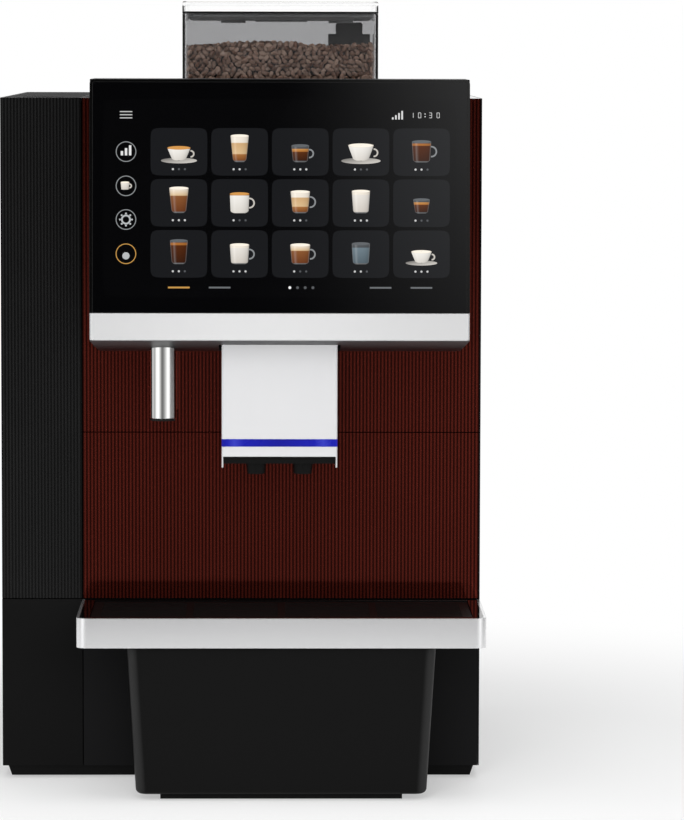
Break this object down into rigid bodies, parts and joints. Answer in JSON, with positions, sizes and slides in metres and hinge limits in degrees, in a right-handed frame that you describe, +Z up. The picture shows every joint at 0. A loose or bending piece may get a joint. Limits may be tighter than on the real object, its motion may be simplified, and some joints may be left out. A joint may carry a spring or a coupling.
{
  "type": "office coffee machine",
  "caption": "Bean-to-cup office coffee machine: screen head over a height-adjustable spout, ribbed cup niche, drip tray, waste drawer, side water tank and bean hopper.",
  "frame": {"origin": "on the counter, under the centre of the machine's bounding box", "axes": "+Z up; +X to the machine's left as seen from behind, which is the right of the picture; -Y towards the person in front of the screen"},
  "size_m": [0.411, 0.524, 0.6694],
  "materials": {
    "black_plastic": "fine satin grain",
    "column_plastic": "satin, ribbed",
    "burgundy_panel": "polished, ribbed",
    "black_metal": "fine powder coat",
    "grey_metal": "plain sheet",
    "foot_rubber": "matt",
    "silver_trim": "satin",
    "black_gloss": "mirror polish",
    "screen_glass": "polished, black-backed",
    "display": "plain",
    "steel_tube": "polished",
    "white_plastic": "silky gloss",
    "blue_light": "lit, diffusing",
    "plain_steel": "machined",
    "light_alloy": "cast, bead-blasted",
    "clear_plastic": "clear",
    "smoked_plastic": "clear, smoked",
    "grey_plastic": "fine satin grain",
    "beans": "roasted, slightly oily",
    "circuit_board": "solder mask",
    "tubing": "satin",
    "motor_case": "plain"
  },
  "bodies": {
    "machine": {"base_pan": "black_plastic", "rubber_feet": "foot_rubber", "chassis_frame": "grey_metal", "right_side_panel": "black_metal", "rear_panel": "black_metal", "top_cover": "black_gloss", "column_shell": "black_plastic", "column_front_cover": "column_plastic", "lower_fascia": "black_metal", "upper_front_panel": "burgundy_panel", "head_shell": "black_plastic", "head_trim_band": "silver_trim", "screen_bezel": "black_gloss", "screen_glass": "screen_glass", "display_panel": "display", "hot_water_tube": "steel_tube", "hot_water_tip": "foot_rubber", "spout_rail": "light_alloy", "slide_rails": "plain_steel", "hopper_base": "grey_plastic", "hopper_body": "smoked_plastic", "coffee_beans": "beans", "grinder_housing": "light_alloy", "upper_burr": "plain_steel", "grinder_motor": "motor_case", "grounds_chute": "black_plastic", "brew_frame": "light_alloy", "brew_cylinder": "grey_plastic", "brew_motor": "motor_case", "coffee_boiler": "light_alloy", "water_boiler": "light_alloy", "pump": "plain_steel", "main_board": "circuit_board", "power_inlet": "black_plastic", "fan_housing": "black_plastic", "tank_dock": "black_plastic", "fluid_lines": "tubing", "panel_screws": "plain_steel"},
    "front_panel": {"lower_front_panel": "burgundy_panel"},
    "coffee_spout": {"spout_cover": "white_plastic", "spout_light_strip": "blue_light", "spout_lower_trim": "white_plastic", "spout_block": "black_plastic", "coffee_nozzles": "black_plastic"},
    "drip_tray": {"drip_tray": "black_gloss", "tray_band": "silver_trim"},
    "grille": {"drip_grille": "black_plastic"},
    "waste_drawer": {"waste_drawer": "black_plastic", "grounds_bin": "black_plastic"},
    "hopper_lid": {"hopper_lid": "clear_plastic", "lid_seal": "foot_rubber", "lid_liner": "grey_plastic"},
    "bean_gate": {"bean_gate": "black_plastic"},
    "grinder_rotor": {"lower_burr": "plain_steel"},
    "brew_piston": {"brew_piston": "grey_plastic"},
    "brew_screw": {"brew_screw": "plain_steel"},
    "fan_rotor": {"fan_rotor": "black_plastic"},
    "rocker_switch": {"rocker_switch": "black_plastic"},
    "water_tank": {"water_tank": "smoked_plastic"},
    "tank_lid": {"tank_lid": "black_gloss"}
  },
  "joints": [
    {"name": "spout_height", "type": "slide", "parent": "machine", "child": "coffee_spout", "axis": [0, 0, 1], "range_m": [-0.028, 0.045]},
    {"name": "front_panel_pull", "type": "slide", "parent": "machine", "child": "front_panel", "axis": [0, -1, 0], "range_m": [0, 0.025]},
    {"name": "drip_tray_pull", "type": "slide", "parent": "machine", "child": "drip_tray", "axis": [0, -1, 0], "range_m": [0, 0.12]},
    {"name": "grille_lift", "type": "slide", "parent": "drip_tray", "child": "grille", "axis": [0, 0, 1], "range_m": [0, 0.06]},
    {"name": "waste_drawer_pull", "type": "slide", "parent": "machine", "child": "waste_drawer", "axis": [0, -1, 0], "range_m": [0, 0.26]},
    {"name": "hopper_lid_lift", "type": "slide", "parent": "machine", "child": "hopper_lid", "axis": [0, 0, 1], "range_m": [0, 0.06]},
    {"name": "bean_gate_slide", "type": "slide", "parent": "machine", "child": "bean_gate", "axis": [1, 0, 0], "range_m": [0, 0.05]},
    {"name": "burr_spin", "type": "hinge", "parent": "machine", "child": "grinder_rotor", "pos_m": [0.0335, 0.1, 0.52], "axis": [0, 0, 1], "continuous": true},
    {"name": "piston_press", "type": "slide", "parent": "machine", "child": "brew_piston", "axis": [0, 0, -1], "range_m": [0, 0.04]},
    {"name": "brew_screw_turn", "type": "hinge", "parent": "machine", "child": "brew_screw", "pos_m": [-0.0125, -0.062, 0.4], "axis": [0, 0, 1], "range_deg": [0, 1200]},
    {"name": "fan_spin", "type": "hinge", "parent": "machine", "child": "fan_rotor", "pos_m": [0.0345, 0.245, 0.42], "axis": [0, 1, 0], "continuous": true},
    {"name": "switch_rock", "type": "hinge", "parent": "machine", "child": "rocker_switch", "pos_m": [-0.0385, 0.254, 0.062], "axis": [-1, 0, 0], "range_deg": [0, 16]},
    {"name": "tank_lift", "type": "slide", "parent": "machine", "child": "water_tank", "axis": [0, 0, 1], "range_m": [0, 0.57]},
    {"name": "tank_lid_lift", "type": "slide", "parent": "water_tank", "child": "tank_lid", "axis": [0, 0, 1], "range_m": [0, 0.05]}
  ],
  "couplings": [
    {"joint": "brew_screw_turn", "follows": "piston_press", "rad_per_m": 523.6}
  ]
}
